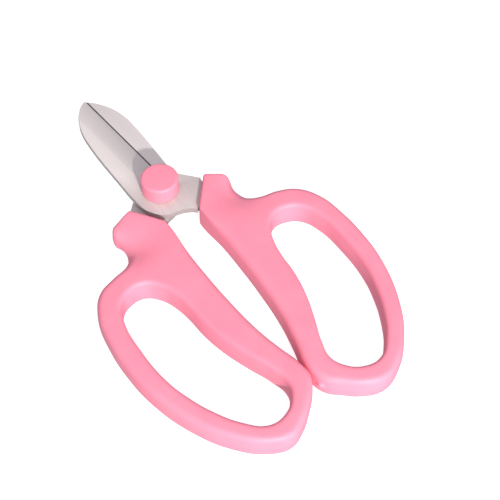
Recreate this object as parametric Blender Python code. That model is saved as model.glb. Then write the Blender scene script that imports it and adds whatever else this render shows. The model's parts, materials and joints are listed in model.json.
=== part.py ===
"""Floral snips: two stamped steel halves on one pivot, each half moulded into a closed plastic loop handle.

The snips lie closed on the loops. +Y points to the blade tip, +Z is up, and the origin is under the middle
of the whole part, on the surface that it lies on. Outlines are in millimetres from the pivot axis.
"""

import math

import bmesh
import bpy
import numpy as np
from mathutils import Vector

MM = 0.001

# Where the pivot axis crosses the handles' middle plane.
PIVOT_Y = 27.9
HANDLE_THICKNESS = 11.2
PIVOT_Z = HANDLE_THICKNESS / 2

# Handles.
HANDLE_EDGE_RADIUS = 3.0
HANDLE_EDGE_STEPS = 2
HANDLE_CURVE_STEPS = 4

# Blades: z is measured from the handles' middle plane.
BLADE_THICKNESS = 2.5
BLADE_GAP = 0.3
EDGE_THICKNESS = 0.3
SPINE_CHAMFER = 0.6
SPINE_RIGHT_END, SPINE_LOW_END = -5.0, -7.0
BLADE_CURVE_STEPS = 4
UPPER_BOTTOM = BLADE_GAP / 2
UPPER_TOP = UPPER_BOTTOM + BLADE_THICKNESS
TANG_CLEARANCE = 0.3

# Pivot hardware.
ROUND_STEPS = 40
CUT_PAST = 1.0
STACK_GAP = 0.2
BOLT_RADIUS = 2.5
BOLT_RUNNING_FIT = 0.1
BOLT_HEAD_RADIUS = 6.0
BOLT_HEAD_HEIGHT = 1.7
# The head's dome, as (share of the head's radius, height over its lowest face).
BOLT_DOME = [(0.55, 0.0), (0.85, 0.35), (1.0, 0.95)]
BOLT_END_CHAMFER = 0.4
BOLT_SOCKET_ACROSS = 3.0
BOLT_SOCKET_DEPTH = 1.1
WASHER_RADIUS = 4.6
WASHER_HOLE_RADIUS = 2.75
WASHER_THICKNESS = 0.6
SPRING_WASHER_RADIUS = 4.4
SPRING_WASHER_WIDTH = 1.5
SPRING_WASHER_THICKNESS = 0.7
SPRING_WASHER_SWEEP = 345
SPRING_WASHER_STEPS = 36
NUT_ACROSS_FLATS = 8.0
NUT_HEIGHT = 2.6
CAP_RADIUS = 7.2
CAP_CAVITY_RADIUS = 4.9
CAP_ROOF = 1.2
CAP_HEIGHT = 6.8
CAP_FILLET = 1.3
CAP_FILLET_ANGLES = (0, 18, 36, 54, 72, 90)

SMOOTH, CORNER = "AUTO", "VECTOR"
SHARP_ANGLE = 35
STEEP_ANGLE = 60
SAME_HEIGHT = 1e-6
WELD_DISTANCE = 1e-6

# The loop handle on the right. The left one mirrors it, apart from the spur, the heel and the front face.
HANDLE_SIDE = [
    (42.7, -29.3), (47.6, -36.5), (49.9, -47.5), (50.3, -60.0), (48.8, -73.0), (43.6, -89.0),
    (35.4, -102.5), (26.5, -110.4), (19.0, -112.8),
]
SPUR_RIGHT = [(24.4, -10.6), (23.8, -14.2), (24.2, -17.6), (25.9, -21.5), (29.6, -24.2), (35.2, -25.6)]
SPUR_LEFT = [(25.7, -9.2), (24.8, -14.4), (25.7, -20.0), (29.2, -24.0), (35.2, -26.1)]
HANDLE_INNER = [(2.8, -82.0), (4.8, -72.5), (6.3, -57.5), (6.9, -42.0), (6.9, -30.5), (6.7, -22.5)]
HEEL_FULL = [(11.5, -110.3), (6.2, -106.2), (2.1, -102.4), (0.25, -97.5), (0.25, -92.5)]
HEEL_SLIM = [(12.8, -110.4), (7.6, -106.4), (2.9, -101.6), (0.25, -97.0), (0.25, -92.0)]
# The flat front face that the tongue goes in by, from its inner corner to the spur's corner.
FRONT_RIGHT = [(6.7, -17.1), (16.8, -4.5), (23.6, -8.6)]
FRONT_LEFT = [(6.8, -15.4), (15.2, -4.0), (24.5, -7.0)]
FINGER_HOLE = [
    (20.3, -51.0), (21.5, -44.8), (23.8, -39.5), (28.2, -35.4), (33.4, -35.4), (38.0, -38.0), (41.2, -45.0),
    (42.3, -57.0), (41.4, -71.5), (38.9, -81.0), (34.8, -90.5), (29.2, -99.0), (22.8, -104.4),
    (16.2, -104.0), (10.9, -99.7), (9.1, -95.0), (10.4, -89.0), (14.0, -80.0), (17.5, -70.0), (19.5, -60.5),
]

# The upper half, from the tip down the cutting edge, round the pivot and back up the spine.
TIP = (0.0, 57.0)
EDGE_HEEL = (4.5, 8.7)
UPPER_SHOULDER = [(15.9, -3.8), (7.0, -15.7)]
UPPER_BACK = [
    (4.9, -14.2), (1.8, -12.9), (-1.6, -12.3), (-4.8, -11.4), (-7.5, -8.8), (-9.3, -5.0), (-10.2, 1.0),
    (-10.6, 12.0), (-10.7, 34.0), (-9.8, 42.0), (-7.9, 47.6), (-5.2, 52.0), (-2.6, 55.1),
]
LOWER_SHOULDER = [(15.0, -2.8), (5.6, -12.6)]
LOWER_BACK = [
    (3.6, -11.9), (0.4, -10.9), (-3.0, -9.4), (-6.6, -7.0), (-9.0, -3.0), (-9.7, 3.0),
    (-9.9, 14.0), (-9.9, 35.0), (-9.2, 42.0), (-7.5, 47.5), (-5.0, 51.9), (-2.5, 55.0),
]
# The flat tongue that each half pushes into its handle, and the depth of the ground face behind the edge.
TONGUE_UPPER = [(15.5, -4.35), (16.6, -34.0), (11.6, -34.0), (7.6, -14.9)]
TONGUE_LOWER = [(13.2, -4.4), (16.6, -34.0), (11.6, -34.0), (7.4, -10.7)]
GRIND_WIDTH = 8.3
GRIND_HEEL_Y = 10.5
# How far the ground face's cutter runs past the tip, past the edge and over the top, and its plunge arc.
GRIND_PAST_TIP = 6.0
GRIND_PAST_EDGE = 4.0
GRIND_OVER_TOP = 4.0
GRIND_PLUNGE = 5.0
GRIND_PLUNGE_ANGLES = range(0, 91, 15)

# Looks: colour, roughness, metallic.
PLASTIC = ((0.93, 0.29, 0.39), 0.35, 0.0)
STEEL = ((0.62, 0.60, 0.58), 0.32, 1.0)
ZINC = ((0.55, 0.56, 0.57), 0.4, 1.0)


def clear_scene():
    for old in list(bpy.data.objects):
        bpy.data.objects.remove(old)


def material(name, colour, roughness, metallic):
    made = bpy.data.materials.new(name)
    made.use_nodes = True
    shader = made.node_tree.nodes["Principled BSDF"]
    shader.inputs["Base Color"].default_value = (*colour, 1.0)
    shader.inputs["Roughness"].default_value = roughness
    shader.inputs["Metallic"].default_value = metallic
    return made


def mirrored(points):
    return [(-x, y) for x, y in points]


def smooth(points):
    return [(x, y, SMOOTH) for x, y in points]


def corners(points):
    return [(x, y, CORNER) for x, y in points]


def outline_mesh(name, loops, half_thickness, edge_radius, curve_steps):
    """A plate with closed outlines: the first loop is its border and the rest are holes in it."""
    curve = bpy.data.curves.new(name, "CURVE")
    curve.dimensions = "2D"
    curve.fill_mode = "BOTH"
    curve.resolution_u = curve_steps
    curve.extrude = (half_thickness - edge_radius) * MM
    curve.bevel_depth = edge_radius * MM
    curve.bevel_resolution = HANDLE_EDGE_STEPS
    curve.offset = -edge_radius * MM
    for loop in loops:
        spline = curve.splines.new("BEZIER")
        spline.bezier_points.add(len(loop) - 1)
        spline.use_cyclic_u = True
        for point, (x, y, kind) in zip(spline.bezier_points, loop):
            point.co = (x * MM, y * MM, 0.0)
            point.handle_left_type = kind
            point.handle_right_type = kind
    holder = bpy.data.objects.new(name, curve)
    mesh = bpy.data.meshes.new_from_object(holder)
    bpy.data.objects.remove(holder)
    shape = bmesh.new()
    shape.from_mesh(mesh)
    bmesh.ops.remove_doubles(shape, verts=shape.verts, dist=WELD_DISTANCE)
    bmesh.ops.recalc_face_normals(shape, faces=shape.faces)
    shape.to_mesh(mesh)
    shape.free()
    return mesh


def turned_mesh(name, profile, steps=ROUND_STEPS):
    """A closed profile of (radius, z) points spun about the pivot axis; points on the axis close to one."""
    shape = bmesh.new()
    rings = []
    for radius, z in profile:
        if radius == 0.0:
            rings.append([shape.verts.new((0.0, 0.0, z * MM))])
            continue
        angles = [2 * math.pi * i / steps for i in range(steps)]
        rings.append([
            shape.verts.new((radius * math.cos(a) * MM, radius * math.sin(a) * MM, z * MM)) for a in angles
        ])
    for first, second in zip(rings, rings[1:] + rings[:1]):
        if len(first) == 1 and len(second) == 1:
            continue
        for i in range(steps):
            j = (i + 1) % steps
            near = [first[i % len(first)], first[j % len(first)]]
            far = [second[j % len(second)], second[i % len(second)]]
            shape.faces.new(list(dict.fromkeys(near + far)))
    bmesh.ops.recalc_face_normals(shape, faces=shape.faces)
    mesh = bpy.data.meshes.new(name)
    shape.to_mesh(mesh)
    shape.free()
    return mesh


def prism_mesh(name, points, bottom, top):
    """An upright prism; bottom and top may each be one z or a function of x and y."""
    heights = [level if callable(level) else (lambda x, y, z=level: z) for level in (bottom, top)]
    shape = bmesh.new()
    low, high = [
        [shape.verts.new((x * MM, y * MM, height(x, y) * MM)) for x, y in points] for height in heights
    ]
    shape.faces.new(low)
    shape.faces.new(high)
    for i, vert in enumerate(low):
        j = (i + 1) % len(low)
        shape.faces.new((vert, low[j], high[j], high[i]))
    bmesh.ops.recalc_face_normals(shape, faces=shape.faces)
    mesh = bpy.data.meshes.new(name)
    shape.to_mesh(mesh)
    shape.free()
    return mesh


def place(mesh, look, parent):
    made = bpy.data.objects.new(mesh.name, mesh)
    bpy.context.scene.collection.objects.link(made)
    made.parent = parent
    if look:
        mesh.materials.append(material(mesh.name, *look))
    mesh.shade_smooth()
    mesh.set_sharp_from_angle(angle=math.radians(SHARP_ANGLE))
    return made


def cut(target, mesh, parent):
    cutter = place(mesh, None, parent)
    cutter.hide_render = True
    cutter.display_type = "WIRE"
    modifier = target.modifiers.new(mesh.name, "BOOLEAN")
    modifier.operation = "DIFFERENCE"
    modifier.object = cutter


def grown(points, by):
    """A convex outline pushed outwards by a distance, corners kept sharp."""
    middle = np.mean(points, axis=0)
    lines = []
    for (x0, y0), (x1, y1) in zip(points, points[1:] + points[:1]):
        normal = np.array([y1 - y0, x0 - x1]) / math.hypot(x1 - x0, y1 - y0)
        normal *= math.copysign(1.0, normal @ (np.array([x0, y0]) - middle))
        lines.append((normal, normal @ np.array([x0, y0]) + by))
    made = []
    for (n0, d0), (n1, d1) in zip(lines[-1:] + lines[:-1], lines):
        made.append(tuple(float(v) for v in np.linalg.solve(np.array([n0, n1]), np.array([d0, d1]))))
    return made


def make_handle(name, side, spur, heel, front, tongue, tongue_z, pivot):
    """A closed loop with rounded edges and a finger spur, and a slot in its front face for the tongue."""
    border = smooth(spur + HANDLE_SIDE + heel + HANDLE_INNER) + corners(front)
    loops = [[(side * x, y, kind) for x, y, kind in loop] for loop in (border, smooth(FINGER_HOLE))]
    mesh = outline_mesh(name, loops, HANDLE_THICKNESS / 2, HANDLE_EDGE_RADIUS, HANDLE_CURVE_STEPS)
    handle = place(mesh, PLASTIC, pivot)
    room = grown([(side * x, y) for x, y in tongue], TANG_CLEARANCE)
    low, high = tongue_z
    cut(handle, prism_mesh(name + "_slot", room, low - TANG_CLEARANCE, high + TANG_CLEARANCE), pivot)
    return handle


def make_blade(name, side, shoulder, back, tongue, pivot):
    """One steel half: ground blade, pivot eye and tongue. side 1 is the upper half, -1 the lower one."""
    border = corners([TIP, EDGE_HEEL, shoulder[0], *tongue, shoulder[1]]) + smooth(back)
    loop = [(side * x, y, kind) for x, y, kind in border]
    mesh = outline_mesh(name, [loop], BLADE_THICKNESS / 2, 0.0, BLADE_CURVE_STEPS)
    middle = side * (UPPER_BOTTOM + BLADE_THICKNESS / 2)
    for vert in mesh.vertices:
        vert.co.z += middle * MM
    chamfer_spine(mesh, side)
    blade = place(mesh, STEEL, pivot)
    half = BLADE_THICKNESS / 2
    cut(blade, bolt_bore(name + "_bore", middle - half, middle + half), pivot)
    cut(blade, grind_cutter(name + "_grind", side), pivot)
    return blade


def chamfer_spine(mesh, side):
    """The long outer edge of the spine, taken off on the face away from the other half."""
    shape = bmesh.new()
    shape.from_mesh(mesh)
    outer_z = side * UPPER_TOP * MM
    chosen = []
    for edge in shape.edges:
        ends = [vert.co for vert in edge.verts]
        on_face = all(abs(co.z - outer_z) < SAME_HEIGHT for co in ends)
        on_spine = all(
            side * co.x < SPINE_RIGHT_END * MM and co.y > SPINE_LOW_END * MM for co in ends
        )
        if on_face and on_spine and edge.calc_face_angle(0.0) > math.radians(STEEP_ANGLE):
            chosen.append(edge)
    bmesh.ops.bevel(
        shape, geom=chosen, offset=SPINE_CHAMFER * MM, offset_type="WIDTH", segments=1, affect="EDGES",
        clamp_overlap=True,
    )
    shape.to_mesh(mesh)
    shape.free()


def grind_cutter(name, side):
    """The space above the ground face: its floor runs from the cutting edge up to the outer face."""
    tip, heel = np.array(TIP), np.array(EDGE_HEEL)
    along = (tip - heel) / np.linalg.norm(tip - heel)
    across = np.array([-along[1], along[0]])
    drop = BLADE_THICKNESS - EDGE_THICKNESS

    def floor_at(x, y):
        from_edge = (np.array([side * x, y]) - heel) @ across
        return side * (UPPER_BOTTOM + EDGE_THICKNESS + drop * from_edge / GRIND_WIDTH)

    depth = GRIND_WIDTH * (1 + GRIND_OVER_TOP / drop / 4)
    right = EDGE_HEEL[0] + GRIND_PAST_EDGE
    heel_points = []
    for angle in GRIND_PLUNGE_ANGLES:
        turn = math.radians(angle)
        heel_points.append(np.array([
            right - (depth + GRIND_PAST_EDGE) * math.sin(turn),
            GRIND_HEEL_Y + GRIND_PLUNGE * (1 - math.cos(turn)),
        ]))
    end = tip + along * GRIND_PAST_TIP
    far = [end + across * depth, end - across * GRIND_PAST_EDGE]
    points = [(side * float(p[0]), float(p[1])) for p in heel_points + far]
    return prism_mesh(name, points, floor_at, side * (UPPER_TOP + GRIND_OVER_TOP))


def ring_profile(inner, outer, low, high):
    return [(inner, low), (outer, low), (outer, high), (inner, high)]


def make_spring_washer(low, pivot):
    """A split lock washer: one turn of square wire, its ends stepped apart."""
    shape = bmesh.new()
    sections = []
    inner = SPRING_WASHER_RADIUS - SPRING_WASHER_WIDTH
    for i in range(SPRING_WASHER_STEPS + 1):
        share = i / SPRING_WASHER_STEPS
        angle = math.radians(SPRING_WASHER_SWEEP) * share
        lift = STACK_GAP / 2 * share
        section = []
        for radius, z in ring_profile(inner, SPRING_WASHER_RADIUS, 0.0, SPRING_WASHER_THICKNESS):
            position = (radius * math.cos(angle), radius * math.sin(angle), low + z + lift)
            section.append(shape.verts.new(Vector(position) * MM))
        sections.append(section)
    for first, second in zip(sections, sections[1:]):
        for a, b, c, d in zip(first, first[1:] + first[:1], second[1:] + second[:1], second):
            shape.faces.new((a, b, c, d))
    shape.faces.new(sections[0])
    shape.faces.new(sections[-1])
    bmesh.ops.recalc_face_normals(shape, faces=shape.faces)
    mesh = bpy.data.meshes.new("spring_washer")
    shape.to_mesh(mesh)
    shape.free()
    return place(mesh, ZINC, pivot)


def hexagon(across_flats):
    corner = across_flats / math.sqrt(3)
    turns = [math.radians(60 * i) for i in range(6)]
    return [(corner * math.cos(turn), corner * math.sin(turn)) for turn in turns]


def bolt_bore(name, low, high):
    """The space that the bolt's shank turns in, run out past both faces."""
    radius = BOLT_RADIUS + BOLT_RUNNING_FIT
    under, over = low - CUT_PAST, high + CUT_PAST
    return turned_mesh(name, [(0.0, under), (radius, under), (radius, over), (0.0, over)])


def make_nut(low, pivot):
    high = low + NUT_HEIGHT
    nut = place(prism_mesh("pivot_nut", hexagon(NUT_ACROSS_FLATS), low, high), ZINC, pivot)
    cut(nut, bolt_bore("pivot_nut_bore", low, high), pivot)
    return nut


def make_bolt(head_top, end, pivot):
    """Low domed head under the lower half, with a hexagon socket, and a plain shank up through the stack."""
    under = head_top - BOLT_HEAD_HEIGHT
    rim = BOLT_HEAD_RADIUS
    dome = [(rim * share, under + rise) for share, rise in BOLT_DOME]
    chamfer = BOLT_END_CHAMFER
    shank = [(BOLT_RADIUS, head_top), (BOLT_RADIUS, end - chamfer), (BOLT_RADIUS - chamfer, end)]
    profile = [(0.0, under), *dome, (rim, head_top), *shank, (0.0, end)]
    bolt = place(turned_mesh("pivot_bolt", profile), ZINC, pivot)
    socket = hexagon(BOLT_SOCKET_ACROSS)
    cut(bolt, prism_mesh("pivot_bolt_socket", socket, under - CUT_PAST, under + BOLT_SOCKET_DEPTH), pivot)
    return bolt


def make_cap(low, pivot):
    """A cup turned upside down over the nut, with a rounded rim at the top."""
    top = low + CAP_HEIGHT
    roof = top - CAP_ROOF
    rim = []
    for angle in CAP_FILLET_ANGLES:
        turn = math.radians(angle)
        rim.append((CAP_RADIUS - CAP_FILLET * (1 - math.cos(turn)), top - CAP_FILLET * (1 - math.sin(turn))))
    hollow = [(0.0, roof), (CAP_CAVITY_RADIUS, roof)]
    profile = [(CAP_CAVITY_RADIUS, low), (CAP_RADIUS, low), *rim, (0.0, top), *hollow]
    return place(turned_mesh("pivot_cap", profile), PLASTIC, pivot)


def main():
    clear_scene()
    pivot = bpy.data.objects.new("pivot", None)
    pivot.location = (0.0, PIVOT_Y * MM, PIVOT_Z * MM)
    bpy.context.scene.collection.objects.link(pivot)

    make_blade("upper_blade", 1, UPPER_SHOULDER, UPPER_BACK, TONGUE_UPPER, pivot)
    make_blade("lower_blade", -1, LOWER_SHOULDER, LOWER_BACK, TONGUE_LOWER, pivot)
    upper_z = (UPPER_BOTTOM, UPPER_TOP)
    lower_z = (-UPPER_TOP, -UPPER_BOTTOM)
    make_handle("right_handle", 1, SPUR_RIGHT, HEEL_FULL, FRONT_RIGHT, TONGUE_UPPER, upper_z, pivot)
    make_handle("left_handle", -1, SPUR_LEFT, HEEL_SLIM, FRONT_LEFT, TONGUE_LOWER, lower_z, pivot)

    washer_low = UPPER_TOP + STACK_GAP
    spring_low = washer_low + WASHER_THICKNESS + STACK_GAP
    nut_low = spring_low + SPRING_WASHER_THICKNESS + 1.5 * STACK_GAP
    bolt_end = nut_low + NUT_HEIGHT + STACK_GAP
    flat = ring_profile(WASHER_HOLE_RADIUS, WASHER_RADIUS, washer_low, washer_low + WASHER_THICKNESS)
    place(turned_mesh("flat_washer", flat), ZINC, pivot)
    make_spring_washer(spring_low, pivot)
    make_nut(nut_low, pivot)
    make_cap(washer_low, pivot)

    under_high = -UPPER_TOP - STACK_GAP
    under_low = under_high - WASHER_THICKNESS
    under = ring_profile(WASHER_HOLE_RADIUS, WASHER_RADIUS, under_low, under_high)
    place(turned_mesh("head_washer", under), ZINC, pivot)
    make_bolt(under_low - STACK_GAP, bolt_end, pivot)


main()
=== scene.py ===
"""Floral snips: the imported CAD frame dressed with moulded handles, ground blades and a pivot cap."""

import json
import math

import bmesh
import bpy
import numpy as np
from mathutils import Matrix, Vector


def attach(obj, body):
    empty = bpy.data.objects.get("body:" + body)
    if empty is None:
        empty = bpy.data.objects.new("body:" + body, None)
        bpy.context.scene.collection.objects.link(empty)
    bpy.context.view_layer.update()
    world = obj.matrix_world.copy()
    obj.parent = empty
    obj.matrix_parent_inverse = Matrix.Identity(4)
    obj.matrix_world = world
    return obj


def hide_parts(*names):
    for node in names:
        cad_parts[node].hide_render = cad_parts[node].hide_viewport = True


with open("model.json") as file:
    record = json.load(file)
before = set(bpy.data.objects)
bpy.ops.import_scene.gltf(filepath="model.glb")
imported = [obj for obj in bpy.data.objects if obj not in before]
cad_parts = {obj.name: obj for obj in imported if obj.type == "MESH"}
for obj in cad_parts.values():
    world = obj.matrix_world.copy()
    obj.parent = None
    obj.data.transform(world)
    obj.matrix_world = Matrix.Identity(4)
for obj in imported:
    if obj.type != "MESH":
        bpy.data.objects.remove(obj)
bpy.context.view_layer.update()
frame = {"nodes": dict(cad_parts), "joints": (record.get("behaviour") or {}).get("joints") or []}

MM = 0.001
NODES = frame["nodes"]
PIVOT = Vector(frame["joints"][0]["pos_m"])
UPPER, LOWER = "upper_half", "lower_half"

# Handles: the level cut, in metres, misses the slot that the steel tongue goes in by.
HANDLES = (
    ("right_handle", 1, 0.0040, UPPER),
    ("left_handle", -1, 0.0072, LOWER),
)
BLADES = (("upper_blade", UPPER), ("lower_blade", LOWER))
HARDWARE = ("pivot_nut", "pivot_bolt", "spring_washer", "flat_washer", "head_washer")

# Points closer than this, in metres, are one point.
WELD = 1e-6
# An outline bends by more than this at a corner; anywhere else it is a smooth curve.
CORNER_TURN = math.radians(26)
SPAN_STEPS = 16
# How many points are measured at a time, which bounds the memory.
CHUNK = 4000
TINY = 1e-12


# ---------------------------------------------------------------- outlines read from the CAD nodes


def slice_loops(node, height):
    """Closed outlines, in mm from the pivot axis, where a level plane cuts a CAD node, longest first."""
    bm = bmesh.new()
    bm.from_mesh(NODES[node].data)
    bmesh.ops.remove_doubles(bm, verts=bm.verts, dist=WELD)
    geometry = bm.verts[:] + bm.edges[:] + bm.faces[:]
    bmesh.ops.bisect_plane(
        bm,
        geom=geometry,
        plane_co=(0, 0, height),
        plane_no=(0, 0, 1),
        clear_inner=True,
        clear_outer=True,
    )
    seen, loops = set(), []
    for start in bm.verts:
        if start in seen:
            continue
        loop, current = [], start
        while current is not None:
            seen.add(current)
            loop.append(((current.co.x - PIVOT.x) / MM, (current.co.y - PIVOT.y) / MM))
            nexts = [e.other_vert(current) for e in current.link_edges]
            current = next((v for v in nexts if v not in seen), None)
        loops.append(np.array(loop))
    bm.free()
    loops.sort(key=lambda p: -np.linalg.norm(np.roll(p, -1, 0) - p, axis=1).sum())
    return [anticlockwise(loop) for loop in loops]


def anticlockwise(loop):
    x, y = loop.T
    area = (x * np.roll(y, -1) - np.roll(x, -1) * y).sum()
    return loop if area > 0 else loop[::-1].copy()


def bends_only(loop, least=0.004):
    """The loop without the points that lie on a straight run."""
    back, ahead = loop - np.roll(loop, 1, 0), np.roll(loop, -1, 0) - loop
    cross = np.abs(back[:, 0] * ahead[:, 1] - back[:, 1] * ahead[:, 0])
    length = np.linalg.norm(back, axis=1) * np.linalg.norm(ahead, axis=1)
    return loop[cross > least * length]


def smooth_loop(loop, step, sigma):
    """An even closed curve through the loop's points, with its corners rounded over about sigma mm."""
    back, ahead = loop - np.roll(loop, 1, 0), np.roll(loop, -1, 0) - loop
    turn = np.abs(np.arctan2(back[:, 0] * ahead[:, 1] - back[:, 1] * ahead[:, 0], (back * ahead).sum(1)))
    corner = (turn > CORNER_TURN)[:, None]
    a, b, c, d = np.roll(loop, 1, 0), loop, np.roll(loop, -1, 0), np.roll(loop, -2, 0)
    a = np.where(corner, b, a)
    d = np.where(np.roll(corner, -1, 0), c, d)
    t = np.linspace(0, 1, SPAN_STEPS, endpoint=False)[None, :, None]
    a, b, c, d = (v[:, None, :] for v in (a, b, c, d))
    square, cube = 2 * a - 5 * b + 4 * c - d, 3 * b - a - 3 * c + d
    curve = 0.5 * (2 * b + (c - a) * t + square * t**2 + cube * t**3)
    curve = even_loop(curve.reshape(-1, 2), step)
    count = len(curve)
    reach = np.fft.fftfreq(count, 1 / count) / (count * step)
    blur = np.exp(-2 * (math.pi * reach * sigma) ** 2)
    return np.fft.ifft(np.fft.fft(curve, axis=0) * blur[:, None], axis=0).real


def even_loop(loop, step):
    closed = np.vstack([loop, loop[:1]])
    along = np.concatenate([[0], np.cumsum(np.linalg.norm(np.diff(closed, axis=0), axis=1))])
    count = int(round(along[-1] / step))
    at = np.linspace(0, along[-1], count, endpoint=False)
    return np.stack([np.interp(at, along, closed[:, i]) for i in range(2)], axis=1)


def signed_distance(loop, x, y):
    """Distance from each point of a grid to the loop in mm, negative inside it."""
    points = np.stack([x.ravel(), y.ravel()], axis=1)
    start, end = loop, np.roll(loop, -1, 0)
    run = end - start
    out = np.empty(len(points))
    for low in range(0, len(points), CHUNK):
        p = points[low : low + CHUNK, None, :]
        t = np.clip(((p - start) * run).sum(-1) / (run * run).sum(-1), 0, 1)
        gap = np.sqrt(((start + t[..., None] * run - p) ** 2).sum(-1)).min(1)
        above = (start[:, 1] > p[..., 1]) != (end[:, 1] > p[..., 1])
        safe = np.where(np.abs(run[:, 1]) < TINY, TINY, run[:, 1])
        cross_x = start[:, 0] + (p[..., 1] - start[:, 1]) / safe * run[:, 0]
        inside = (above & (p[..., 0] < cross_x)).sum(1) % 2 == 1
        out[low : low + CHUNK] = np.where(inside, -gap, gap)
    return out.reshape(x.shape)


# ---------------------------------------------------------------- level surfaces of a sampled field


def surface_net(field, origin, step):
    """Points and quads of the field's zero level: one point in each cell that the surface crosses."""
    inside = field < 0
    cells = np.zeros(tuple(n - 1 for n in field.shape), np.int8)
    corners = [(i, j, k) for i in (0, 1) for j in (0, 1) for k in (0, 1)]
    nx, ny, nz = cells.shape
    for i, j, k in corners:
        cells += inside[i : i + nx, j : j + ny, k : k + nz]
    active = (cells > 0) & (cells < len(corners))
    index = np.full(cells.shape, -1, np.int64)
    at = np.argwhere(active)
    index[active] = np.arange(len(at))
    total, hits = np.zeros((len(at), 3)), np.zeros(len(at))
    for a in corners:
        for axis in range(3):
            if a[axis]:
                continue
            b = list(a)
            b[axis] = 1
            fa = field[tuple((at + a).T)]
            fb = field[tuple((at + b).T)]
            cut = (fa < 0) != (fb < 0)
            t = np.where(cut, fa / np.where(cut, fa - fb, 1), 0)
            point = np.tile(np.array(a, float), (len(at), 1))
            point[:, axis] += t
            total += point * cut[:, None]
            hits += cut
    points = origin + (at + total / hits[:, None]) * step
    quads = []
    for axis in range(3):
        u, v = (axis + 1) % 3, (axis + 2) % 3
        low = [slice(None)] * 3
        high = [slice(None)] * 3
        low[axis], high[axis] = slice(0, -1), slice(1, None)
        first, second = inside[tuple(low)], inside[tuple(high)]
        for turn in (False, True):
            found = np.argwhere((first & ~second) if not turn else (~first & second))
            found = found[(found[:, u] > 0) & (found[:, v] > 0)]
            ring = []
            for du, dv in ((0, 0), (-1, 0), (-1, -1), (0, -1)):
                cell = found.copy()
                cell[:, u] += du
                cell[:, v] += dv
                ring.append(index[tuple(cell.T)])
            ring = np.stack(ring, axis=1)
            quads.append(ring[:, ::-1] if turn else ring)
    return points, np.concatenate(quads)


def sample(field, origin, step, points):
    """The field and its slope at points between the grid's, by linear interpolation."""
    at = (points - origin) / step
    cell = np.clip(np.floor(at).astype(int), 0, np.array(field.shape) - 2)
    f = at - cell
    value = 0
    slope = np.zeros_like(points)
    for i in (0, 1):
        for j in (0, 1):
            for k in (0, 1):
                v = field[cell[:, 0] + i, cell[:, 1] + j, cell[:, 2] + k]
                w = [f[:, n] if c else 1 - f[:, n] for n, c in enumerate((i, j, k))]
                s = [1 if c else -1 for c in (i, j, k)]
                value = value + v * w[0] * w[1] * w[2]
                slope[:, 0] += v * s[0] * w[1] * w[2]
                slope[:, 1] += v * s[1] * w[0] * w[2]
                slope[:, 2] += v * s[2] * w[0] * w[1]
    return value, slope / step


def relax(points, quads, share):
    """Each point moved part of the way to the middle of its neighbours."""
    edges = np.concatenate([quads[:, [i, (i + 1) % 4]] for i in range(4)])
    total, count = np.zeros_like(points), np.zeros(len(points))
    for a, b in ((0, 1), (1, 0)):
        for axis in range(3):
            total[:, axis] += np.bincount(edges[:, a], points[edges[:, b], axis], len(points))
        count += np.bincount(edges[:, a], minlength=len(points))
    return points + share * (total / count[:, None] - points)


# Rounds of evening the points out and pulling them back to the level, then a last fairing.
LEVEL_ROUNDS = 3
RELAX_SHARE = 0.6
LEAST_SLOPE_SQUARED = 0.05
FAIRING = (0.5, -0.52, 0.5, -0.52)


def level_mesh(field, origin, step):
    """The field's zero level as evenly spaced points and quads."""
    points, quads = surface_net(field, origin, step)
    for _ in range(LEVEL_ROUNDS):
        points = relax(points, quads, RELAX_SHARE)
        value, slope = sample(field, origin, step, points)
        steep = np.maximum((slope**2).sum(1), LEAST_SLOPE_SQUARED)
        points = points - (value / steep)[:, None] * slope
    for share in FAIRING:
        points = relax(points, quads, share)
    return points, quads


def add_mesh(name, points, faces):
    """A mesh object from points in mm about the pivot axis and the handles' mid-plane."""
    mesh = bpy.data.meshes.new(name)
    world = np.asarray(points, float) * MM + np.array(PIVOT)
    mesh.from_pydata(world.tolist(), [], [list(map(int, f)) for f in faces])
    mesh.validate()
    mesh.polygons.foreach_set("use_smooth", [True] * len(mesh.polygons))
    mesh.update()
    obj = bpy.data.objects.new(name, mesh)
    bpy.context.scene.collection.objects.link(obj)
    return obj


# ---------------------------------------------------------------- handles

# Millimetres from the pivot axis and the handles' mid-plane. x is outwards, towards the handle's own side.
HALF_HEIGHT = 5.6
OUTLINE_STEP, OUTLINE_ROUND = 0.35, 0.45
GRID_STEP = 0.45
GRID_MARGIN = 3 * GRID_STEP
# Radius of the rim round the loop, round the finger hole and round the tang end.
RIM, HOLE_RIM, CRISP_RIM = 2.4, 1.9, 0.9
LEAST_WALL = 0.15
RIM_BLEND = 0.6
# How far each wall is drawn in at the faces, and how little the faces fall towards their border.
DRAFT = 0.42
CROWN, CROWN_WIDTH = 0.08, 6.0
# The y between which the rim turns crisp towards the tang. From the first x to the second, on the spur's
# side, they move forward, by a shift for each side of the pivot, and closer together.
CRISP_START, CRISP_END = -34.0, -19.0
SPUR_SIDE = (9.0, 20.0)
SPUR_SHIFT = {1: 20.0, -1: 24.0}
SPUR_CLOSER = 9.0
# The finger recess behind the spur: place and reach, and what it adds to the rim and takes from the height.
RECESS = (23.6, -18.4, 5.2)
RECESS_RIM, RECESS_DEPTH = 1.4, 2.0
# The small round stop on the right handle's heel: place, radius and the blend into the handle.
STOP_PLACE, STOP_RADIUS, STOP_BLEND = (1.7, -100.2, 0.5), 1.5, 0.5


def near(x, y, cx, cy, reach):
    """1 at (cx, cy), falling to 0 a few reaches away."""
    return np.exp(-((x - cx) ** 2 + (y - cy) ** 2) / (2 * reach**2))


def ramp(value, low, high):
    """0 up to low and 1 from high, with a smooth rise between them."""
    t = np.clip((value - low) / (high - low), 0, 1)
    return t * t * (3 - 2 * t)


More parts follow.
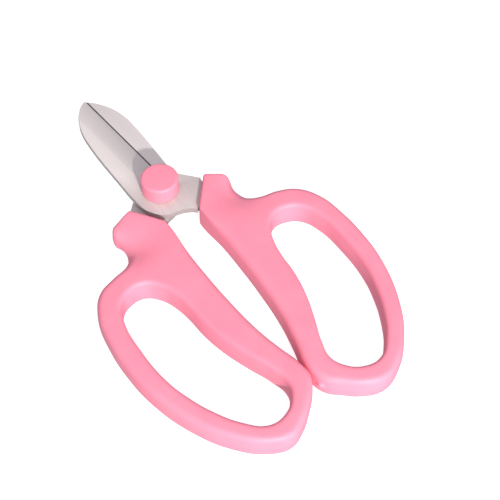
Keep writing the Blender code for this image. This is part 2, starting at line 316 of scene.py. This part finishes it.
def rounded_slab(side, z, half, radius, draft):
    """Field of a slab whose outline is at side 0, drawn in by draft at its faces, with rounded rims."""
    across = side + draft * z / half + radius
    above = z - half + radius
    outside = np.hypot(np.maximum(across, 0), np.maximum(above, 0))
    return outside + np.minimum(np.maximum(across, above), 0) - radius


def soft_max(a, b, width):
    """The larger field, with the meeting line rounded over the width."""
    h = np.clip(0.5 + 0.5 * (a - b) / width, 0, 1)
    return b + (a - b) * h + width * h * (1 - h)


def stop_field(x, y, zs):
    """Field of the ball that makes the stop."""
    cx, cy, cz = STOP_PLACE
    level = (x - cx) ** 2 + (y - cy) ** 2
    return np.sqrt(level[..., None] + (zs - cz)[None, None, :] ** 2) - STOP_RADIUS


def handle_surface(node, height, side):
    """The moulded handle's points and quads. side is 1 for the right handle and -1 for the left."""
    loops = slice_loops(node, height)[:2]
    outer, hole = (smooth_loop(bends_only(loop), OUTLINE_STEP, OUTLINE_ROUND) for loop in loops)
    low, high = outer.min(0) - GRID_MARGIN, outer.max(0) + GRID_MARGIN
    xs = np.arange(low[0], high[0], GRID_STEP)
    ys = np.arange(low[1], high[1], GRID_STEP)
    zs = np.arange(-HALF_HEIGHT - GRID_MARGIN, HALF_HEIGHT + GRID_MARGIN, GRID_STEP)
    x, y = np.meshgrid(xs, ys, indexing="ij")
    border = signed_distance(outer, x, y)
    inner = -signed_distance(hole, x, y)
    right = x * side
    # the outer rim is crisp round the tang end, and full and scooped in the finger recess
    across = ramp(right, *SPUR_SIDE)
    shift = SPUR_SHIFT[side]
    crisp = ramp(y, CRISP_START + shift * across, CRISP_END + (shift - SPUR_CLOSER) * across)
    recess = near(right, y, *RECESS)
    rim = RIM + (CRISP_RIM - RIM) * crisp + RECESS_RIM * recess
    fall = CROWN * (1 - ramp(-border, 0.0, CROWN_WIDTH)) * (1 - crisp)
    half = HALF_HEIGHT - RECESS_DEPTH * recess - fall
    rim = np.minimum(rim, half - LEAST_WALL)
    z = np.abs(zs)[None, None, :]
    draft = (DRAFT * (1 - crisp))[..., None]
    field_outer = rounded_slab(border[..., None], z, half[..., None], rim[..., None], draft)
    field_hole = rounded_slab(inner[..., None], z, half[..., None], HOLE_RIM, DRAFT)
    field = soft_max(field_outer, field_hole, RIM_BLEND)
    if side > 0:
        field = -soft_max(-field, -stop_field(x, y, zs), STOP_BLEND)
    origin = np.array([xs[0], ys[0], zs[0]])
    return level_mesh(field, origin, GRID_STEP)


# ---------------------------------------------------------------- materials


class Nodes:
    """Short calls that add and join shader nodes. Noise scales are in cells per metre."""

    def __init__(self, name):
        self.material = bpy.data.materials.new(name)
        self.material.use_nodes = True
        self.tree = self.material.node_tree
        self.shader = self.tree.nodes["Principled BSDF"]
        self.place = self.add("TexCoord").outputs["Object"]

    def add(self, kind, **settings):
        node = self.tree.nodes.new("ShaderNode" + kind)
        for key, value in settings.items():
            setattr(node, key, value)
        return node

    def put(self, value, socket):
        if isinstance(value, bpy.types.NodeSocket):
            self.tree.links.new(value, socket)
        else:
            socket.default_value = value

    def noise(self, scale, detail=3.0, stretch=(1, 1, 1), roughness=0.5):
        place = self.place
        if stretch != (1, 1, 1):
            mapping = self.add("Mapping")
            self.put(place, mapping.inputs["Vector"])
            mapping.inputs["Scale"].default_value = stretch
            place = mapping.outputs[0]
        node = self.add("TexNoise")
        self.put(place, node.inputs["Vector"])
        node.inputs["Scale"].default_value = scale
        node.inputs["Detail"].default_value = detail
        node.inputs["Roughness"].default_value = roughness
        return node.outputs["Fac"]

    def spread(self, value, low, high, start=0.3, end=0.7):
        """The value's range from start to end, mapped to low to high."""
        node = self.add("MapRange")
        for socket, v in zip(node.inputs[:5], (value, start, end, low, high)):
            self.put(v, socket)
        return node.outputs[0]

    def blend(self, fac, a, b):
        node = self.add("Mix", data_type="RGBA")
        self.put(fac, node.inputs["Factor"])
        self.put((*a, 1) if isinstance(a, tuple) else a, node.inputs[6])
        self.put((*b, 1) if isinstance(b, tuple) else b, node.inputs[7])
        return node.outputs[2]

    def math(self, operation, a, b=0.0):
        node = self.add("Math", operation=operation)
        self.put(a, node.inputs[0])
        self.put(b, node.inputs[1])
        return node.outputs[0]

    def edge_band(self, low, high, soft=0.12):
        """1 between two distances, in mm, to the right of the upper half's cutting edge."""
        start, end = EDGE_LINE
        run = (end - start).normalized()
        right = Vector((-run.y, run.x))
        dot = self.add("VectorMath", operation="DOT_PRODUCT")
        self.put(self.place, dot.inputs[0])
        dot.inputs[1].default_value = (right.x / MM, right.y / MM, 0.0)
        zero = right.dot(start) + right.y * PIVOT.y / MM
        gap = self.math("SUBTRACT", dot.outputs["Value"], zero)
        rise = self.spread(gap, 0.0, 1.0, low - soft, low + soft)
        fall = self.spread(gap, 1.0, 0.0, high - soft, high + soft)
        return self.math("MULTIPLY", rise, fall)

    def bump(self, height, distance, strength=1.0, under=None):
        node = self.add("Bump")
        node.inputs["Strength"].default_value = strength
        node.inputs["Distance"].default_value = distance
        self.put(height, node.inputs["Height"])
        if under is not None:
            self.put(under, node.inputs["Normal"])
        return node.outputs[0]

    def finish(self, **sockets):
        for name, value in sockets.items():
            socket = self.shader.inputs[name.replace("_", " ")]
            self.put((*value, 1) if isinstance(value, tuple) and len(value) == 3 else value, socket)
        return self.material


PINK_DEEP = (0.93, 0.262, 0.37)
PINK_PALE = (0.955, 0.292, 0.40)
HANDLE_ROUGH, CAP_ROUGH = 0.52, 0.46

STEEL = (0.585, 0.535, 0.53)
STEEL_METALLIC, STEEL_ROUGH = 0.2, 0.42
# The grinding lines are noise drawn out along the blade, in slightly paler and deeper steel.
LINE_STRETCH = (1.0, 0.06, 1.0)
PALE_GAIN, DEEP_GAIN = 1.05, 0.93
# The steel is paler on the blade than on the tang: by how much, and from where to where in front of the
# pivot.
BLADE_PALE_GAIN, BLADE_PALE_SHARE = 1.46, 0.85
BLADE_PALE_START, BLADE_PALE_END = -0.002, 0.014
# The steep cut sides get painted shade: this grey, from and up to these slopes (the normal's z).
SIDE_SHADE_GREY, SIDE_SHADE_SHARE = (0.34, 0.31, 0.31), 0.8
SIDE_SHADE_STEEP, SIDE_SHADE_FLAT = 0.25, 0.7
# The upper half's cutting edge, from the tip to its heel, in mm from the pivot axis. The painted shadow
# line that stands for the dark gap beside it lies on the lower half between these distances to its right.
EDGE_LINE = (Vector((0.0, 57.0)), Vector((4.5, 8.7)))
SHADOW_LINE_BAND = (-0.4, 0.78)
SHADOW_LINE_DARK = (0.022, 0.018, 0.016)

ZINC_DULL, ZINC_BRIGHT = (0.50, 0.51, 0.52), (0.62, 0.63, 0.64)


def moulded_plastic(name, rough):
    """Satin pink plastic: faint flow mottling, a fine spark-eroded grain, and handling sheen."""
    n = Nodes(name)
    mottle = n.noise(90.0, 4.0)
    colour = n.blend(n.spread(mottle, 0.0, 1.0), PINK_DEEP, PINK_PALE)
    grain = n.noise(2600.0, 2.0)
    orange = n.noise(420.0, 2.0)
    bump = n.bump(grain, 0.00002, 0.35)
    bump = n.bump(orange, 0.00006, 0.12, under=bump)
    rub = n.noise(60.0, 5.0, roughness=0.6)
    return n.finish(
        Base_Color=colour,
        Roughness=n.spread(rub, rough - 0.05, rough + 0.07),
        Normal=bump,
        Specular_IOR_Level=0.5,
    )


def gained(colour, gain):
    return tuple(min(1.0, c * gain) for c in colour)


def ground_steel(name, shadow_line):
    """Satin steel with fine grinding lines, paler in front of the pivot, painted shade on its steep sides
    and, on the lower half, a painted shadow line beside the other half's cutting edge.
    """
    n = Nodes(name)
    lines = n.noise(900.0, 3.0, stretch=LINE_STRETCH)
    cloud = n.noise(70.0, 4.0)
    pale, deep = gained(STEEL, PALE_GAIN), gained(STEEL, DEEP_GAIN)
    tone = n.blend(n.spread(lines, 0.0, 1.0, 0.25, 0.75), deep, pale)
    apart = n.add("SeparateXYZ")
    n.put(n.place, apart.inputs[0])
    blade_pale = n.spread(apart.outputs["Y"], 0.0, 1.0, PIVOT.y + BLADE_PALE_START, PIVOT.y + BLADE_PALE_END)
    tone = n.blend(n.math("MULTIPLY", blade_pale, BLADE_PALE_SHARE), tone, gained(STEEL, BLADE_PALE_GAIN))
    # Painted shade: the steep faces are blended towards a dark grey by their slope.
    facing = n.add("SeparateXYZ")
    n.put(n.add("NewGeometry").outputs["Normal"], facing.inputs[0])
    side = n.spread(n.math("ABSOLUTE", facing.outputs["Z"]), 1.0, 0.0, SIDE_SHADE_STEEP, SIDE_SHADE_FLAT)
    tone = n.blend(n.math("MULTIPLY", side, SIDE_SHADE_SHARE), tone, SIDE_SHADE_GREY)
    # Painted shadow: a dark line on the lower half where the gap beside the upper half's cutting edge lies
    # in shade.
    if shadow_line:
        tone = n.blend(n.edge_band(*SHADOW_LINE_BAND), tone, SHADOW_LINE_DARK)
    return n.finish(
        Base_Color=tone,
        Metallic=STEEL_METALLIC,
        Roughness=n.spread(cloud, STEEL_ROUGH - 0.04, STEEL_ROUGH + 0.05),
        Normal=n.bump(lines, 0.00002, 0.5),
    )


def zinc(name):
    """Bright zinc plate with a faint crystal mottling."""
    n = Nodes(name)
    cloud = n.noise(600.0, 4.0)
    tone = n.blend(n.spread(cloud, 0.0, 1.0), ZINC_DULL, ZINC_BRIGHT)
    return n.finish(
        Base_Color=tone,
        Metallic=1.0,
        Roughness=n.spread(n.noise(240.0, 3.0), 0.32, 0.46),
        Normal=n.bump(n.noise(3000.0, 2.0), 0.00001, 0.4),
    )


pink = moulded_plastic("pink_plastic", HANDLE_ROUGH)
cap_pink = moulded_plastic("cap_plastic", CAP_ROUGH)
steel = ground_steel("ground_steel", shadow_line=False)
lower_steel = ground_steel("ground_steel_lower", shadow_line=True)
plated = zinc("zinc_plate")


def dress(obj, material):
    obj.data.materials.clear()
    obj.data.materials.append(material)
    return obj


# ---------------------------------------------------------------- pieces

for node, side, height, body in HANDLES:
    points, quads = handle_surface(node, height, side)
    piece = dress(add_mesh("moulded_" + node, points, quads), pink)
    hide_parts(node)
    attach(piece, body)


# The cap, in mm from the pivot axis and the handles' mid-plane, a little to the right of the axis.
CAP_RADIUS, CAP_BASE, CAP_TOP, CAP_FILLET = 7.05, 2.85, 9.65, 1.0
CAP_SHIFT = np.array((0.4, 0.0, 0.0))
CAP_CAVITY, CAP_ROOF = 4.9, 1.2
CAP_STEPS = 128
# How far the top has fallen at a given radius, as a shallow dome.
DOME_FALL, DOME_RADIUS = 0.12, 5.3


def cap_profile():
    """(radius, height) from the middle of the top out, down the wall, under and up inside."""
    flat = CAP_RADIUS - CAP_FILLET
    crown = [(r, CAP_TOP - DOME_FALL * (r / DOME_RADIUS) ** 2) for r in np.linspace(0, flat, 9)]
    turns = np.linspace(0, math.pi / 2, 11)[1:]
    rim_z = crown[-1][1] - CAP_FILLET
    rim = [(flat + CAP_FILLET * math.sin(t), rim_z + CAP_FILLET * math.cos(t)) for t in turns]
    wall = [(CAP_RADIUS, z) for z in np.linspace(rim_z - 0.4, CAP_BASE + 0.25, 6)]
    foot = [(CAP_RADIUS - 0.07, CAP_BASE + 0.08), (CAP_RADIUS - 0.25, CAP_BASE)]
    mouth = [(CAP_CAVITY + 0.1, CAP_BASE), (CAP_CAVITY, CAP_BASE + 0.1)]
    roof = CAP_TOP - CAP_ROOF
    inside = [(CAP_CAVITY, roof - 0.1), (CAP_CAVITY - 0.3, roof), (0, roof)]
    return crown + rim + wall + foot + mouth + inside


def turned_cap(name, profile, steps):
    """A closed turned mesh, from a profile that starts and ends on the cap's own axis."""
    rings = profile[1:-1]
    points = [(0, 0, profile[0][1])]
    for r, z in rings:
        points += [
            (r * math.cos(2 * math.pi * i / steps), r * math.sin(2 * math.pi * i / steps), z)
            for i in range(steps)
        ]
    points.append((0, 0, profile[-1][1]))
    faces = [(0, 1 + i, 1 + (i + 1) % steps) for i in range(steps)]
    for ring in range(len(rings) - 1):
        a, b = 1 + ring * steps, 1 + (ring + 1) * steps
        faces += [(a + i, b + i, b + (i + 1) % steps, a + (i + 1) % steps) for i in range(steps)]
    last = 1 + (len(rings) - 1) * steps
    faces += [(last + (i + 1) % steps, last + i, len(points) - 1) for i in range(steps)]
    return add_mesh(name, np.array(points) + CAP_SHIFT, faces)


cap = dress(turned_cap("moulded_pivot_cap", cap_profile(), CAP_STEPS), cap_pink)
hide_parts("pivot_cap")
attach(cap, UPPER)

for node in HARDWARE:
    dress(NODES[node], plated)


# Width of the broken edges, in mm, and the turns that count as flat, as an edge to break and as sharp.
EDGE_BREAK = 0.09
FLAT_TURN, BROKEN_TURN, SHARP_TURN = math.radians(0.6), math.radians(10), math.radians(28)


def rounded_copy(node, name, width):
    """A CAD node's shape with every sharp edge broken by a small round."""
    bm = bmesh.new()
    bm.from_mesh(NODES[node].data)
    bmesh.ops.remove_doubles(bm, verts=bm.verts, dist=WELD)
    bmesh.ops.dissolve_limit(bm, angle_limit=FLAT_TURN, verts=bm.verts, edges=bm.edges)
    sharp = [e for e in bm.edges if e.is_manifold and e.calc_face_angle(0) > BROKEN_TURN]
    bmesh.ops.bevel(
        bm, geom=sharp, offset=width * MM, segments=2, profile=0.5, affect="EDGES", clamp_overlap=True
    )
    mesh = bpy.data.meshes.new(name)
    bm.to_mesh(mesh)
    bm.free()
    mesh.shade_smooth()
    mesh.set_sharp_from_angle(angle=SHARP_TURN)
    obj = bpy.data.objects.new(name, mesh)
    bpy.context.scene.collection.objects.link(obj)
    return obj


for node, body in BLADES:
    blade = rounded_copy(node, "ground_" + node, EDGE_BREAK)
    dress(blade, steel if node == "upper_blade" else lower_steel)
    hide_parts(node)
    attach(blade, body)


# ---------------------------------------------------------------- floor, light and camera


def look_at(obj, place, target):
    obj.location = place
    obj.rotation_mode = "QUATERNION"
    obj.rotation_quaternion = (Vector(target) - Vector(place)).to_track_quat("-Z", "Y")


# Half the floor's side, and how far it lies under the snips, in metres.
FLOOR_REACH, FLOOR_DROP = 4.0, 0.00005
FLOOR_CORNERS = ((-1, -1), (1, -1), (1, 1), (-1, 1))
mesh = bpy.data.meshes.new("floor")
mesh.from_pydata(
    [(sx * FLOOR_REACH, sy * FLOOR_REACH, -FLOOR_DROP) for sx, sy in FLOOR_CORNERS],
    [],
    [(0, 1, 2, 3)],
)
floor = bpy.data.objects.new("floor", mesh)
bpy.context.scene.collection.objects.link(floor)
paper = Nodes("floor_paper")
dress(
    floor,
    paper.finish(
        Base_Color=paper.blend(paper.noise(8.0), (0.55, 0.55, 0.55), (0.6, 0.6, 0.6)),
        Roughness=0.9,
        Specular_IOR_Level=0.1,
        Emission_Color=(1.0, 1.0, 1.0),
        Emission_Strength=0.8,
    ),
)
floor.visible_diffuse = False
floor.visible_glossy = False

world = bpy.data.worlds.new("studio")
bpy.context.scene.world = world
world.use_nodes = True
tree = world.node_tree
back = tree.nodes["Background"]
coord = tree.nodes.new("ShaderNodeTexCoord")


def sky_level(axis, low, high, dim, bright):
    """Brightness of the surroundings by how far a direction leans to the axis."""
    towards = tree.nodes.new("ShaderNodeVectorMath")
    towards.operation = "DOT_PRODUCT"
    tree.links.new(coord.outputs["Generated"], towards.inputs[0])
    towards.inputs[1].default_value = Vector(axis).normalized()
    level = tree.nodes.new("ShaderNodeMapRange")
    tree.links.new(towards.outputs["Value"], level.inputs[0])
    for socket, value in zip(level.inputs[1:5], (low, high, dim, bright)):
        socket.default_value = value
    return level.outputs[0]


# The room is brightest overhead and a little to the front left, and below the horizon to the front left.
above = sky_level((-0.20, -0.33, 0.92), -0.3, 1.0, 0.28, 0.76)
below = sky_level((-0.62, -0.78, 0.0), -1.0, 1.0, 0.10, 1.0)
level = tree.nodes.new("ShaderNodeMix")
tree.links.new(sky_level((0, 0, 1), -0.08, 0.04, 0.0, 1.0), level.inputs["Factor"])
tree.links.new(below, level.inputs[2])
tree.links.new(above, level.inputs[3])
# The camera sees a plain white room.
seen = tree.nodes.new("ShaderNodeLightPath")
pick = tree.nodes.new("ShaderNodeMix")
tree.links.new(seen.outputs["Is Camera Ray"], pick.inputs["Factor"])
tree.links.new(level.outputs[0], pick.inputs[2])
pick.inputs[3].default_value = 1.0
tree.links.new(pick.outputs[0], back.inputs["Strength"])
back.inputs["Color"].default_value = (1.0, 0.98, 1.05, 1.0)

LIT_POINT = Vector((0.0, 0.0, PIVOT.z))
WARM = (1.0, 0.97, 0.90)


def area_light(name, direction, distance, size, watts):
    """A round lamp, in metres and watts, aimed at the snips from a direction."""
    data = bpy.data.lights.new(name, "AREA")
    data.shape = "DISK"
    data.size = size
    data.energy = watts
    data.color = WARM
    lamp = bpy.data.objects.new(name, data)
    bpy.context.scene.collection.objects.link(lamp)
    look_at(lamp, LIT_POINT + Vector(direction).normalized() * distance, LIT_POINT)


area_light("key", (-0.22, -0.84, 0.50), 1.3, 0.06, 18.0)
area_light("low_fill", (0.15, -0.97, 0.18), 1.2, 0.9, 4.5)

# The camera's place from the pivot centre, and its axes.
CAMERA_PLACE = Vector((-130.017, -246.205, 340.255)) * MM + PIVOT
CAMERA_RIGHT = Vector((0.82608786, -0.56348757, 0.00778484))
CAMERA_UP = Vector((0.44990597, 0.66776703, 0.59301923))
CAMERA_BACK = Vector((-0.33935743, -0.48638354, 0.80515066))
CAMERA_LENS, CAMERA_SENSOR = 83.715, 36.0
camera_data = bpy.data.cameras.new("camera")
camera_data.lens = CAMERA_LENS
camera_data.sensor_width = CAMERA_SENSOR
camera_data.clip_start = 0.01
camera = bpy.data.objects.new("camera", camera_data)
bpy.context.scene.collection.objects.link(camera)
axes = Matrix((CAMERA_RIGHT, CAMERA_UP, CAMERA_BACK)).transposed()
camera.matrix_world = Matrix.Translation(CAMERA_PLACE) @ axes.to_4x4()
bpy.context.scene.camera = camera
bpy.context.scene.view_settings.view_transform = "Standard"
